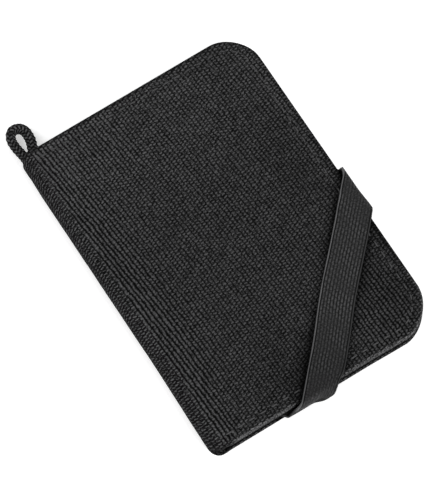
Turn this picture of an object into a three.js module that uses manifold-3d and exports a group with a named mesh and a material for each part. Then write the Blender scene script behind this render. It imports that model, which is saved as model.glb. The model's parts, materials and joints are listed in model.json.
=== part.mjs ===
// Passport holder wallet, closed, lying on its back cover. Millimetres, +Z up.
// X runs from the spine (-X) to the opening edge (+X), Y runs up the height of the covers.
import * as THREE from "three";
import { mergeVertices } from "three/addons/utils/BufferGeometryUtils.js";
import Module from "manifold-3d";

const wasm = await Module();
wasm.setup();

// Covers
const COVER_WIDTH = 100;
const COVER_HEIGHT = 140;
const WALLET_THICKNESS = 8.2;
const TOP_CORNER_RADIUS = 14;
const BOTTOM_CORNER_RADIUS = 16;
const FABRIC = 0.7;
const HEM_WIDTH = 6;
const HEM_THICKNESS = 0.4;
const RIM_ROUNDING = 0.6;
const GAP = 0.3;
const CORNER_STEPS = 10;

// Fold between the covers
const FOLD_RADIUS = WALLET_THICKNESS / 2;
const FOLD_X = -COVER_WIDTH / 2 + FOLD_RADIUS;
const FOLD_Z = WALLET_THICKNESS / 2;
const FOLD_CREASE_ANGLE = 45;
const CREASE_HALF_GAP = 0.5;
const FOLD_STEPS = 6;
const RIM_START_X = -40;

// Heights of the layers, each measured inwards from the outer face of its own cover
const BACK_LAYERS = {
  board: [1.0, 1.4],
  lining: [1.7, 1.95],
  rim: 2.1,
};
const FRONT_LAYERS = {
  foam: [1.0, 1.9],
  board: [2.2, 2.8],
  lining: [3.3, 3.55],
  rim: 3.7,
  sleeve: [4.0, 4.25],
};
const LAYER_EDGE_CLEARANCE = 1.0;
const LAYER_START_X = -41;

// Card slots on the back cover, passport sleeve on the front cover
const SLOT_INSET = 3.5;
const SLOT_START_X = -41;
const SLOT_THICKNESS = 0.22;
const SLOT_SIDE_SEAM_INSET = 2;
const CARD_SLOTS = [
  { name: "card_slot_rear", base: 2.35, top: 8 },
  { name: "card_slot_middle", base: 2.85, top: -4 },
  { name: "card_slot_front", base: 3.35, top: -16 },
];
const SLEEVE_START_X = -8;

// Topstitching along the three open sides
const STITCH_INSET = 4.1;
const THREAD = 0.4;
const THREAD_THICKNESS = 0.2;
const STITCH_GROOVE = 1.2;
const STITCH_GROOVE_DEPTH = 0.45;

// Elastic strap across the lower corner of the opening side
const STRAP_WIDTH = 14;
const STRAP_THICKNESS = 0.9;
const STRAP_LIFT = 0.4;
const STRAP_STANDOFF = 1.7;
const STRAP_FORE_OFFSET = 57.5;
const STRAP_BOTTOM_OFFSET = 53.4;
const STRAP_END_BASE = 1.0;
const STRAP_END_DEPTH = 6;
const BAR_TACK_WIDTH = 1.6;
const BAR_TACK_LENGTH = 13;
const BAR_TACK_HEIGHT = 0.3;

// Cord loop at the top end of the spine
const CORD_DIAMETER = 3.4;
const CORD_SIDES = 10;
const CORD_STEPS = 32;
const CORD_Z = FOLD_Z;
const CORD_PATH = [
  [-47.3, 66.8],
  [-47.4, 70.5],
  [-47.8, 75.0],
  [-47.6, 78.6],
  [-46.2, 81.0],
  [-44.3, 81.6],
  [-42.2, 80.6],
  [-41.1, 78.2],
  [-41.2, 75.0],
  [-42.3, 71.8],
  [-43.2, 69.3],
  [-43.4, 66.8],
];
const LOOP_TACK_TOP = 66.4;
const LOOP_TACK_DEPTH = 1.5;

// Extents that follow from the sizes above
const COVER_HALF = COVER_WIDTH / 2;
const HEIGHT_HALF = COVER_HEIGHT / 2;
const FAR = COVER_HEIGHT;

const AXIS_X = new THREE.Vector3(1, 0, 0);
const AXIS_Y = new THREE.Vector3(0, 1, 0);
const AXIS_Z = new THREE.Vector3(0, 0, 1);

const MATERIALS = {
  shell: fabricMaterial(0x2d2d2e, 0.92),
  lining: fabricMaterial(0x1d1d1f, 0.85),
  board: fabricMaterial(0x6a655c, 0.9),
  foam: fabricMaterial(0x4a4a4c, 0.95),
  elastic: fabricMaterial(0x3b3b3d, 0.8),
  cord: fabricMaterial(0x29292b, 0.85),
  thread: fabricMaterial(0x3d3d3f, 0.7),
};

function fabricMaterial(color, roughness) {
  return new THREE.MeshStandardMaterial({ color, roughness, metalness: 0 });
}

function solid(geometry) {
  const bare = geometry.clone();
  bare.deleteAttribute("normal");
  bare.deleteAttribute("uv");
  const merged = mergeVertices(bare, 1e-4);
  return new wasm.Manifold(
    new wasm.Mesh({
      numProp: 3,
      vertProperties: merged.getAttribute("position").array,
      triVerts: new Uint32Array(merged.index.array),
    }),
  );
}

function meshOf(name, body, material) {
  const made = body.getMesh();
  const geometry = new THREE.BufferGeometry();
  geometry.setAttribute(
    "position",
    new THREE.BufferAttribute(new Float32Array(made.vertProperties), 3),
  );
  geometry.setIndex(new THREE.BufferAttribute(new Uint32Array(made.triVerts), 1));
  const flat = geometry.toNonIndexed();
  flat.computeVertexNormals();
  const mesh = new THREE.Mesh(flat, material);
  mesh.name = name;
  return mesh;
}

function box(x, y, z) {
  const geometry = new THREE.BoxGeometry(x[1] - x[0], y[1] - y[0], z[1] - z[0]);
  geometry.translate((x[0] + x[1]) / 2, (y[0] + y[1]) / 2, (z[0] + z[1]) / 2);
  return solid(geometry);
}

function extrude(shape, depth) {
  return new THREE.ExtrudeGeometry(shape, {
    depth,
    bevelEnabled: false,
    curveSegments: CORNER_STEPS,
  });
}

// Outline of a cover: straight along the spine side, rounded at the two opening corners.
function coverOutline(inset, left) {
  const right = COVER_HALF - inset;
  const top = HEIGHT_HALF - inset;
  const topRadius = TOP_CORNER_RADIUS - inset;
  const bottomRadius = BOTTOM_CORNER_RADIUS - inset;
  const shape = new THREE.Shape();
  shape.moveTo(left, -top);
  shape.lineTo(right - bottomRadius, -top);
  shape.absarc(right - bottomRadius, -top + bottomRadius, bottomRadius, -Math.PI / 2, 0);
  shape.absarc(right - topRadius, top - topRadius, topRadius, 0, Math.PI / 2);
  shape.lineTo(left, top);
  shape.closePath();
  return shape;
}

function slab(inset, left, z) {
  return solid(extrude(coverOutline(inset, left), z[1] - z[0]).translate(0, 0, z[0]));
}

// A slab with its long edges rounded, cut square where the fold begins.
function roundedSlab(thickness) {
  const shape = coverOutline(RIM_ROUNDING, FOLD_X - HEM_WIDTH);
  const geometry = new THREE.ExtrudeGeometry(shape, {
    depth: thickness - 2 * RIM_ROUNDING,
    bevelSize: RIM_ROUNDING,
    bevelThickness: RIM_ROUNDING,
    bevelSegments: 3,
    curveSegments: CORNER_STEPS,
  });
  geometry.translate(0, 0, RIM_ROUNDING);
  const beyondFold = box([-FAR, FOLD_X], [-FAR, FAR], [-FAR, FAR]);
  return solid(geometry).subtract(beyondFold);
}

// Part of a tube wall about the fold's centre line; 180 degrees points away from the covers.
function foldArc(inner, outer, fromDegrees, toDegrees, y) {
  const from = THREE.MathUtils.degToRad(fromDegrees);
  const to = THREE.MathUtils.degToRad(toDegrees);
  const shape = new THREE.Shape();
  shape.absarc(FOLD_X, FOLD_Z, outer, from, to, false);
  shape.absarc(FOLD_X, FOLD_Z, inner, to, from, true);
  shape.closePath();
  const geometry = new THREE.ExtrudeGeometry(shape, {
    depth: y[1] - y[0],
    bevelEnabled: false,
    curveSegments: FOLD_STEPS,
  });
  geometry.applyMatrix4(new THREE.Matrix4().makeBasis(AXIS_X, AXIS_Z, AXIS_Y.clone().negate()));
  geometry.translate(0, y[1], 0);
  return solid(geometry);
}

function creaseGapDegrees() {
  return THREE.MathUtils.radToDeg(CREASE_HALF_GAP / (FOLD_RADIUS - FABRIC / 2));
}

// A narrow band that follows the three open sides at one distance from the edge.
function edgeBand(width, left, z) {
  const outside = slab(STITCH_INSET - width / 2, left, z);
  const inside = slab(STITCH_INSET + width / 2, left - HEM_WIDTH, [z[0] - 1, z[1] + 1]);
  return outside.subtract(inside);
}

// The shell fabric of one cover, built as a back cover: outer face down, hem turned in on top.
function shellPanel(rim) {
  const pocket = slab(FABRIC, -FAR, [FABRIC, rim - HEM_THICKNESS]);
  const hemOpening = slab(HEM_WIDTH, -FAR, [FABRIC, rim + 1]);
  const beforeRim = box([-FAR, RIM_START_X], [-FAR, FAR], [FABRIC, rim + 1]);
  const groove = edgeBand(STITCH_GROOVE, RIM_START_X - GAP, [-1, STITCH_GROOVE_DEPTH]);
  const lip = foldArc(
    FOLD_RADIUS - FABRIC,
    FOLD_RADIUS,
    180 + FOLD_CREASE_ANGLE + creaseGapDegrees(),
    270,
    [-HEIGHT_HALF, HEIGHT_HALF],
  );
  return roundedSlab(rim)
    .subtract(pocket)
    .subtract(hemOpening)
    .subtract(beforeRim)
    .subtract(groove)
    .add(lip);
}

// Turns a piece built as a back cover over to the front of the wallet.
function toFront(body) {
  return body.mirror([0, 0, 1]).translate([0, 0, WALLET_THICKNESS]);
}

function edgeThread() {
  return edgeBand(THREAD, RIM_START_X, [0, THREAD_THICKNESS]);
}

function coverLayer(z) {
  return slab(LAYER_EDGE_CLEARANCE, LAYER_START_X, z);
}

function coverLining(z) {
  return slab(HEM_WIDTH + GAP, LAYER_START_X, z);
}

// Where the strap's centre line runs, and how it slants.
const STRAP_DIRECTION = new THREE.Vector2(STRAP_BOTTOM_OFFSET, STRAP_FORE_OFFSET).normalize();
const STRAP_SLOPE = STRAP_DIRECTION.y / STRAP_DIRECTION.x;
const STRAP_TOP = WALLET_THICKNESS + STRAP_LIFT + STRAP_THICKNESS;
const STRAP_OUT = STRAP_STANDOFF + STRAP_THICKNESS;
const FORE_OUT = COVER_HALF + STRAP_OUT;
const BOTTOM_OUT = -HEIGHT_HALF - STRAP_OUT;
const FORE_SPAN = STRAP_WIDTH / 2 / STRAP_DIRECTION.x;
const BOTTOM_SPAN = STRAP_WIDTH / 2 / STRAP_DIRECTION.y;

// Along the opening edge the strap climbs towards +Y as it goes down round the covers.
function strapForeY(z) {
  const atTop = -HEIGHT_HALF + STRAP_FORE_OFFSET + STRAP_OUT * STRAP_SLOPE;
  return atTop + (STRAP_TOP - z) * STRAP_SLOPE;
}

// Along the bottom edge it runs towards -X as it goes down.
function strapBottomX(z) {
  const atTop = COVER_HALF - STRAP_BOTTOM_OFFSET - STRAP_OUT / STRAP_SLOPE;
  return atTop - (STRAP_TOP - z) / STRAP_SLOPE;
}

function polygon(points) {
  return new THREE.Shape(points.map(([x, y]) => new THREE.Vector2(x, y)));
}

function strapAcrossFront() {
  const foreY = strapForeY(STRAP_TOP);
  const bottomX = strapBottomX(STRAP_TOP);
  const shape = polygon([
    [FORE_OUT, foreY + FORE_SPAN],
    [bottomX - BOTTOM_SPAN, BOTTOM_OUT],
    [bottomX + BOTTOM_SPAN, BOTTOM_OUT],
    [FORE_OUT, foreY - FORE_SPAN],
  ]);
  const geometry = extrude(shape, STRAP_THICKNESS);
  return solid(geometry.translate(0, 0, STRAP_TOP - STRAP_THICKNESS));
}

// The slanted part of the strap that stands beside a cover edge.
function strapSide(centreAt, span) {
  const low = STRAP_END_BASE;
  return polygon([
    [centreAt(low) - span, low],
    [centreAt(low) + span, low],
    [centreAt(STRAP_TOP) + span, STRAP_TOP],
    [centreAt(STRAP_TOP) - span, STRAP_TOP],
  ]);
}

function strapForeSide() {
  const geometry = extrude(strapSide(strapForeY, FORE_SPAN), STRAP_THICKNESS);
  geometry.applyMatrix4(new THREE.Matrix4().makeBasis(AXIS_Y, AXIS_Z, AXIS_X));
  return solid(geometry.translate(FORE_OUT - STRAP_THICKNESS, 0, 0));
}

function strapBottomSide() {
  const geometry = extrude(strapSide(strapBottomX, BOTTOM_SPAN), STRAP_THICKNESS);
  geometry.applyMatrix4(new THREE.Matrix4().makeBasis(AXIS_X, AXIS_Z, AXIS_Y.clone().negate()));
  return solid(geometry.translate(0, BOTTOM_OUT + STRAP_THICKNESS, 0));
}

// The two flat ends that lie in the back cover's seam, grown by a clearance to cut their notches.
function strapForeEnd(clearance) {
  const centre = strapForeY(STRAP_END_BASE);
  return box(
    [COVER_HALF - STRAP_END_DEPTH - clearance, FORE_OUT],
    [centre - FORE_SPAN - clearance, centre + FORE_SPAN + clearance],
    [STRAP_END_BASE - clearance, STRAP_END_BASE + STRAP_THICKNESS + clearance],
  );
}

function strapBottomEnd(clearance) {
  const centre = strapBottomX(STRAP_END_BASE);
  return box(
    [centre - BOTTOM_SPAN - clearance, centre + BOTTOM_SPAN + clearance],
    [BOTTOM_OUT, -HEIGHT_HALF + STRAP_END_DEPTH + clearance],
    [STRAP_END_BASE - clearance, STRAP_END_BASE + STRAP_THICKNESS + clearance],
  );
}

function elasticStrap() {
  return strapAcrossFront()
    .add(strapForeSide())
    .add(strapBottomSide())
    .add(strapForeEnd(0))
    .add(strapBottomEnd(0));
}

function notchForStrapEnds(body) {
  return body.subtract(strapForeEnd(GAP)).subtract(strapBottomEnd(GAP));
}

const BAR_TACK_Z = [
  STRAP_END_BASE + STRAP_THICKNESS + GAP,
  STRAP_END_BASE + STRAP_THICKNESS + GAP + BAR_TACK_HEIGHT,
];

function strapForeBarTack() {
  const centre = strapForeY(STRAP_END_BASE);
  const right = COVER_HALF - SLOT_INSET + 2 * GAP + BAR_TACK_WIDTH;
  return box(
    [right - BAR_TACK_WIDTH, right],
    [centre - BAR_TACK_LENGTH / 2, centre + BAR_TACK_LENGTH / 2],
    BAR_TACK_Z,
  );
}

function strapBottomBarTack() {
  const centre = strapBottomX(STRAP_END_BASE);
  const low = -HEIGHT_HALF + SLOT_INSET - 2 * GAP - BAR_TACK_WIDTH;
  return box(
    [centre - BAR_TACK_LENGTH / 2, centre + BAR_TACK_LENGTH / 2],
    [low, low + BAR_TACK_WIDTH],
    BAR_TACK_Z,
  );
}

// A card slot reaches from its own top edge down to the bottom hem.
function cardSlot(slot) {
  const whole = slab(SLOT_INSET, SLOT_START_X, [slot.base, slot.base + SLOT_THICKNESS]);
  return whole.subtract(box([-FAR, FAR], [slot.top, FAR], [-FAR, FAR]));
}

// The seam that closes the card slots on the spine side lies on the front slot.
function cardSlotSideSeam() {
  const front = CARD_SLOTS[CARD_SLOTS.length - 1];
  const left = SLOT_START_X + SLOT_SIDE_SEAM_INSET;
  const low = front.base + SLOT_THICKNESS + GAP / 2;
  return box(
    [left, left + THREAD],
    [-HEIGHT_HALF + SLOT_INSET + SLOT_SIDE_SEAM_INSET, front.top - 1],
    [low, low + THREAD_THICKNESS],
  );
}

function passportSleeve() {
  return slab(SLOT_INSET, SLEEVE_START_X, FRONT_LAYERS.sleeve);
}

function spineArc(inner, outer, y) {
  const half = FOLD_CREASE_ANGLE - creaseGapDegrees();
  return foldArc(inner, outer, 180 - half, 180 + half, y);
}

function spineOuter() {
  return spineArc(FOLD_RADIUS - FABRIC, FOLD_RADIUS, [-HEIGHT_HALF, HEIGHT_HALF]);
}

function spineLining() {
  const outer = FOLD_RADIUS - FABRIC - GAP;
  return spineArc(outer - GAP, outer, [-HEIGHT_HALF + 1, LOOP_TACK_TOP - LOOP_TACK_DEPTH - 2 * GAP]);
}

function cordLoop() {
  const section = new THREE.Shape();
  section.absarc(0, 0, CORD_DIAMETER / 2, 0, 2 * Math.PI);
  const points = CORD_PATH.map(([x, y]) => new THREE.Vector3(x, y, CORD_Z));
  return solid(
    new THREE.ExtrudeGeometry(section, {
      steps: CORD_STEPS,
      curveSegments: CORD_SIDES / 2,
      extrudePath: new THREE.CatmullRomCurve3(points),
    }),
  );
}

// The bar of stitching that holds the two tails of the cord.
function loopBarTack() {
  const [start, end] = [CORD_PATH[0], CORD_PATH[CORD_PATH.length - 1]];
  return box(
    [start[0] - CORD_DIAMETER / 4, end[0] + CORD_DIAMETER / 2],
    [LOOP_TACK_TOP - LOOP_TACK_DEPTH, LOOP_TACK_TOP],
    [CORD_Z - CORD_DIAMETER / 2, CORD_Z + CORD_DIAMETER / 4],
  );
}

const wallet = new THREE.Group();
wallet.name = "passport_holder_wallet";
wallet.add(
  meshOf("back_outer_panel", notchForStrapEnds(shellPanel(BACK_LAYERS.rim)), MATERIALS.shell),
  meshOf("back_stiffener_board", notchForStrapEnds(coverLayer(BACK_LAYERS.board)), MATERIALS.board),
  meshOf("back_lining", coverLining(BACK_LAYERS.lining), MATERIALS.lining),
  meshOf("back_edge_stitching", edgeThread(), MATERIALS.thread),
  ...CARD_SLOTS.map((slot) => meshOf(slot.name, cardSlot(slot), MATERIALS.lining)),
  meshOf("card_slot_side_seam", cardSlotSideSeam(), MATERIALS.thread),
  meshOf("spine_outer_panel", spineOuter(), MATERIALS.shell),
  meshOf("spine_lining", spineLining(), MATERIALS.lining),
  meshOf("front_outer_panel", toFront(shellPanel(FRONT_LAYERS.rim)), MATERIALS.shell),
  meshOf("front_foam_padding", toFront(coverLayer(FRONT_LAYERS.foam)), MATERIALS.foam),
  meshOf("front_stiffener_board", toFront(coverLayer(FRONT_LAYERS.board)), MATERIALS.board),
  meshOf("front_lining", toFront(coverLining(FRONT_LAYERS.lining)), MATERIALS.lining),
  meshOf("front_edge_stitching", toFront(edgeThread()), MATERIALS.thread),
  meshOf("passport_sleeve", toFront(passportSleeve()), MATERIALS.lining),
  meshOf("elastic_strap", elasticStrap(), MATERIALS.elastic),
  meshOf("strap_fore_bar_tack", strapForeBarTack(), MATERIALS.thread),
  meshOf("strap_bottom_bar_tack", strapBottomBarTack(), MATERIALS.thread),
  meshOf("cord_loop", cordLoop(), MATERIALS.cord),
  meshOf("loop_bar_tack", loopBarTack(), MATERIALS.thread),
);

export default wallet;
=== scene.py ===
import json
import math

import bpy
import numpy as np
from mathutils import Matrix, Vector


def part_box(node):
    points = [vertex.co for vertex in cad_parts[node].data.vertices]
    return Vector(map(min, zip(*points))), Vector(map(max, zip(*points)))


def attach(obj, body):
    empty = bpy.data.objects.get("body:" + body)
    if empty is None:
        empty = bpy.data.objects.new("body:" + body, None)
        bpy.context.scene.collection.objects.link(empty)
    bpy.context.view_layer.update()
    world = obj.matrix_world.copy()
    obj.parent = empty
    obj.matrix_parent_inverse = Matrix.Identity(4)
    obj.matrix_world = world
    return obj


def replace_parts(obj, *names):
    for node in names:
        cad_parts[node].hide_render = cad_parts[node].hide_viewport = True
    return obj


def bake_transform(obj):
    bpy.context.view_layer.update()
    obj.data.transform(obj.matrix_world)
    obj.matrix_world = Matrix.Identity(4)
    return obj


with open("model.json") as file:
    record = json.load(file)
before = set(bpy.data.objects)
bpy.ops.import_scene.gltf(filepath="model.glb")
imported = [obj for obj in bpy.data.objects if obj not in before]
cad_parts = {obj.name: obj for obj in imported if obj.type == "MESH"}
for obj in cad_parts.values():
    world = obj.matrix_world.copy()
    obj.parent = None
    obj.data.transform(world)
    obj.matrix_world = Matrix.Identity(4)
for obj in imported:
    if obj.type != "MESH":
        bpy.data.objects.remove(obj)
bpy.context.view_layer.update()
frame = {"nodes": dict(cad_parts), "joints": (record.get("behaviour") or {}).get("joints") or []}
MM = 0.001


# ---------------------------------------------------------------- sizes from the frame
def span(node, axis):
    """Lowest and highest coordinate of a CAD node along one axis, in metres."""
    low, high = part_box(node)
    return low[axis], high[axis]


X, Y, Z = 0, 1, 2
FORE_X = span("front_outer_panel", X)[1]
HALF_Y = span("front_outer_panel", Y)[1]
TOP_Z = span("front_outer_panel", Z)[1]
FRONT_RIM_Z = span("front_outer_panel", Z)[0]
BACK_RIM_Z = span("back_outer_panel", Z)[1]
SPINE_X = span("spine_outer_panel", X)[0]
FOLD_R = TOP_Z / 2
FOLD_X = SPINE_X + FOLD_R
FOLD_Z = TOP_Z / 2
FOLD_END = FOLD_X - FOLD_R * math.pi / 2  # the middle of the spine, on the cloth laid flat
FABRIC = 0.7 * MM
LINING_R = FOLD_R - FABRIC - 0.35 * MM
HEM = 6 * MM
LINING_INSET = HEM + 0.4 * MM
POCKET_INSET = 3.5 * MM
TOP_CORNER = 14 * MM
BOTTOM_CORNER = 16 * MM
STITCH_INSET = 4.1 * MM
STITCH_START_X = -44 * MM
YARN_ACROSS, YARN_ALONG = 1.66 * MM, 0.66 * MM  # the shell's yarns, from one to the next
YARN_LEAN, YARN_CURVE = 0.08, 0.275  # how the upright yarns lean off the spine
FRONT_RIBS_END, BACK_RIBS_END = -24 * MM, -34 * MM  # as far as the cloth is drawn into ribs by the spine

BACK, SPINE, FRONT, STRAP = "back_cover", "spine", "front_cover", "strap"


# ---------------------------------------------------------------- camera
AZIMUTH, ELEVATION = math.radians(-32.48), math.radians(69.9)
CAMERA_DISTANCE = 1.6215
CAMERA_LENS = 308.3
CAMERA_PAN = (-4.80 * MM, -1.60 * MM)


def put(name, data):
    obj = bpy.data.objects.new(name, data)
    bpy.context.scene.collection.objects.link(obj)
    return obj


def add_camera():
    """The photo's camera: a long lens that looks down on the front cover from beyond its foot."""
    right = Vector((math.cos(AZIMUTH), math.sin(AZIMUTH), 0))
    level = Vector((math.sin(AZIMUTH), -math.cos(AZIMUTH), 0))
    back = level * math.cos(ELEVATION) + Vector((0, 0, math.sin(ELEVATION)))
    up = back.cross(right)
    data = bpy.data.cameras.new("camera")
    data.lens = CAMERA_LENS
    data.sensor_width = 36
    data.clip_start, data.clip_end = 0.01, 20
    camera = put("camera", data)
    turn = Matrix((right, up, back)).transposed().to_4x4()
    place = right * CAMERA_PAN[0] + up * CAMERA_PAN[1] + back * CAMERA_DISTANCE
    camera.matrix_world = Matrix.Translation(place) @ turn
    bpy.context.scene.camera = camera


# ---------------------------------------------------------------- mesh helpers
def make_mesh(name, points, faces, cloth=None, rib=None):
    """An object in the row frame, shaded smooth. cloth holds each point's place on its flat cloth, in
    metres, and as a third part how light it is there (1 if not given), or on the cord how high its
    strand stands. rib says where the shell's upright yarns stand out as ribs (1) or part into
    separate beads (-1), and on the strap how deep its ribs are."""
    mesh = bpy.data.meshes.new(name)
    points = np.reshape(points, (-1, 3))
    mesh.from_pydata(points.tolist(), [], [list(map(int, f)) for f in faces])
    if cloth is not None:
        cloth = np.reshape(cloth, (len(points), -1))
        flat = np.ones((len(points), 3), np.float32)
        flat[:, : cloth.shape[1]] = cloth
        layer = mesh.attributes.new("cloth", "FLOAT_VECTOR", "POINT")
        layer.data.foreach_set("vector", flat.ravel())
    if rib is not None:
        layer = mesh.attributes.new("rib", "FLOAT", "POINT")
        layer.data.foreach_set("value", np.asarray(rib, np.float32).ravel())
    mesh.polygons.foreach_set("use_smooth", [True] * len(mesh.polygons))
    mesh.update()
    return put(name, mesh)


def grid_faces(rows, columns, wrap=False):
    """Quads of a rows x columns grid of points, numbered row by row; wrap closes each row."""
    i, j = np.meshgrid(np.arange(rows - 1), np.arange(columns if wrap else columns - 1), indexing="ij")
    k = (j + 1) % columns
    quads = np.stack([i * columns + j, i * columns + k, (i + 1) * columns + k, (i + 1) * columns + j], -1)
    return quads.reshape(-1, 4)


def tube_faces(rings, sides, first=0):
    """Faces of a tube closed at both ends, whose points are numbered ring by ring from first."""
    start, end = first, first + (rings - 1) * sides
    tube = (grid_faces(rings, sides, wrap=True) + first).tolist()
    return tube + [list(range(start, start + sides))[::-1], list(range(end, end + sides))]


def thicken(obj, thickness, offset=-1.0):
    """Gives a sheet its thickness, behind its face or, with offset 0, half to each side."""
    solid = obj.modifiers.new("thickness", "SOLIDIFY")
    solid.thickness = thickness
    solid.offset = offset
    solid.use_rim = True
    return obj


def smoothstep(value, low, high):
    """0 below low, 1 above high, and a smooth rise between."""
    t = np.clip((value - low) / (high - low), 0, 1)
    return t * t * (3 - 2 * t)


def lines(*stretches):
    """Grid lines: (start, end, step) stretches laid end to end."""
    made = [np.linspace(a, b, max(2, int(round(abs(b - a) / step)) + 1)) for a, b, step in stretches]
    return np.concatenate([made[0]] + [m[1:] for m in made[1:]])


def round_corner(a, b):
    """A place beyond a corner's centre, by a and b along its two sides, as a radius and an angle on
    quarter circles."""
    big, small = np.maximum(a, b), np.minimum(a, b)
    ratio = np.where(small > 0, small / np.maximum(big, 1e-9), 0)
    angle = np.where(a >= b, math.pi / 4 * ratio, math.pi / 2 - math.pi / 4 * ratio)
    return big, angle


def round_outline(x, y, inset):
    """Places of a square-cornered grid with the two corners by the opening edge rounded as the cover's
    are, inset metres in from its edge."""
    corner = np.where(y > 0, TOP_CORNER, BOTTOM_CORNER) - inset
    cx, cy = FORE_X - inset - corner, HALF_Y - inset - corner
    a, b = x - cx, np.abs(y) - cy
    radius, angle = round_corner(a, b)
    both = np.minimum(a, b) > 0
    side = np.where(y >= 0, 1, -1)
    return (
        np.where(both, cx + radius * np.cos(angle), x),
        np.where(both, side * (cy + radius * np.sin(angle)), y),
    )


# ---------------------------------------------------------------- covers
class CoverSheet:
    """The cloth of one cover as a sheet on a grid (p, q): p runs from the middle of the spine over the
    fold and the face to the hem inside the opening edge, q runs up the height, hems included. The edge
    is depth metres deep. It rolls over by the radius upper and turns in by the radius lower."""

    def __init__(self, front, depth, upper, lower):
        self.front, self.upper, self.lower = front, upper, lower
        self.flat_sides = depth - upper - lower
        length = math.pi / 2 * (upper + lower) + self.flat_sides + HEM - lower
        self.reach = length - upper

    def profile(self, run):
        """(inset from the edge, depth under the face) after run metres round the rolled edge."""
        a = math.pi / 2 * self.upper
        b = a + self.flat_sides
        c = b + math.pi / 2 * self.lower
        turn = np.clip(run, 0, a) / self.upper
        turn_in = np.clip(run - b, 0, c - b) / self.lower
        inset = self.upper * (1 - np.sin(turn)) + self.lower * (1 - np.cos(turn_in))
        depth = self.upper * (1 - np.cos(turn)) + np.clip(run - a, 0, b - a) + self.lower * np.sin(turn_in)
        return inset + np.clip(run - c, 0, None), depth

    def place(self, p, q, lift=0.0):
        """For grid places p, q raised by lift: points in the row frame, points on the flat cloth, and
        how far round the rolled edge each is, negative on the face."""
        corner = np.where(q > 0, TOP_CORNER, BOTTOM_CORNER)
        cx, cy = FORE_X - corner, HALF_Y - corner
        a, b = p - cx, np.abs(q) - cy
        big, angle = round_corner(a, b)
        run = big - (corner - self.upper)
        inset, depth = self.profile(np.clip(run, 0, None))
        # The straight edges are fuller than the corners, and the foot is full only towards the opening.
        fuller = (1 - 0.9 * np.sin(2 * angle) ** 2) * smoothstep(run, 0, self.upper)
        fuller = fuller * np.where((q < 0) & (angle > 1.5), 0.7 * smoothstep(p, 15 * MM, 35 * MM), 1.0)
        radius = np.where(run > 0, corner - inset + 0.42 * MM * fuller, big)
        side = np.where(q >= 0, 1.0, -1.0)
        x = np.where(a > 0, cx + radius * np.cos(angle), p)
        y = np.where(b > 0, side * (cy + radius * np.sin(angle)), q)
        u = np.where(a > 0, cx + big * np.cos(angle), p)
        v = np.where(b > 0, side * (cy + big * np.sin(angle)), q)
        # The edge thins out on the spine, whose ends are pulled in, and the spine bows out between them.
        thin = smoothstep(p, FOLD_X + 0.2 * MM, FOLD_X + 4 * MM)
        depth = np.where(big > 0, depth, 0) * (0.3 + 0.7 * thin)
        bend = np.clip((FOLD_X - p) / FOLD_R, 0, math.pi / 2)
        pulled = 0.9 * FOLD_R * (1 - np.cos(bend)) * np.abs(y) / HALF_Y
        y = y - side * pulled
        r = FOLD_R - depth + lift
        swell = 0.25 * MM * (1 - smoothstep(q, 54 * MM, 66 * MM))
        swell = swell + 0.5 * MM * smoothstep(-q, 28 * MM, 62 * MM)
        x = np.where(p < FOLD_X, FOLD_X - (r + swell) * np.sin(bend), x)
        z = np.where(p < FOLD_X, FOLD_Z + r * np.cos(bend), TOP_Z - depth + lift)
        if not self.front:
            z = TOP_Z - z
        return np.stack([x, y, z], -1), np.stack([u, v], -1), run

    def grid(self, rib_step, face_step):
        """The grid places q, p: fine across the ribs by the spine and round the rolled edge."""
        rim_step = 0.45 * MM
        edge, rim = FORE_X - self.upper - 1 * MM, FORE_X + self.reach
        p = lines(
            (FOLD_END, FRONT_RIBS_END, rib_step),
            (FRONT_RIBS_END, edge, face_step),
            (edge, rim, rim_step),
        )
        half, rim = HALF_Y - self.upper - 1 * MM, HALF_Y + self.reach
        q = lines((-rim, -half, rim_step), (-half, half, face_step), (half, rim, rim_step))
        return np.meshgrid(q, p, indexing="ij")


def strap_distance(x, y):
    """Distance in the plane from the strap's centre line."""
    return np.abs((np.stack([x, y], -1) - STRAP_MID) @ STRAP_ACROSS)


def simulate_face():
    """Puffs the front cover's face cloth up between the places that hold it down, and returns its rise
    on a grid."""
    step, frames = 3 * MM, 20
    xs = np.arange(FOLD_X, FORE_X + step / 2, step)
    ys = np.linspace(-HALF_Y, HALF_Y, int(2 * HALF_Y / step) + 1)
    gy, gx = np.meshgrid(ys, xs, indexing="ij")
    rise = np.zeros_like(gx)
    obj = make_mesh("face_sim", np.stack([gx, gy, rise], -1), grid_faces(len(ys), len(xs)))
    inset = np.minimum(FORE_X - gx, HALF_Y - np.abs(gy))
    held = (inset < STITCH_INSET + 0.5 * MM) | (gx < FOLD_X + step / 2)
    held |= strap_distance(gx, gy) < 5 * MM
    group = obj.vertex_groups.new(name="held")
    group.add([int(i) for i in np.flatnonzero(held.ravel())], 1.0, "REPLACE")
    cloth = obj.modifiers.new("cloth", "CLOTH")
    settings = cloth.settings
    settings.quality = 6
    settings.mass = 0.25
    settings.tension_stiffness = settings.compression_stiffness = 40
    settings.bending_stiffness = 8
    settings.vertex_group_mass = "held"
    settings.use_pressure = True
    settings.uniform_pressure_force = 1.2
    settings.shrink_min = -0.006
    settings.effector_weights.gravity = 0
    cloth.collision_settings.use_collision = False
    scene = bpy.context.scene
    cloth.point_cache.frame_start, cloth.point_cache.frame_end = 1, frames
    for n in range(1, frames + 1):
        scene.frame_set(n)
    settled = obj.evaluated_get(bpy.context.evaluated_depsgraph_get()).to_mesh()
    rise = np.array([v.co.z for v in settled.vertices]).reshape(gx.shape)
    scene.frame_set(1)
    bpy.data.objects.remove(obj)
    return xs, ys, np.clip(rise, -0.25 * MM, 0.5 * MM)


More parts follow.
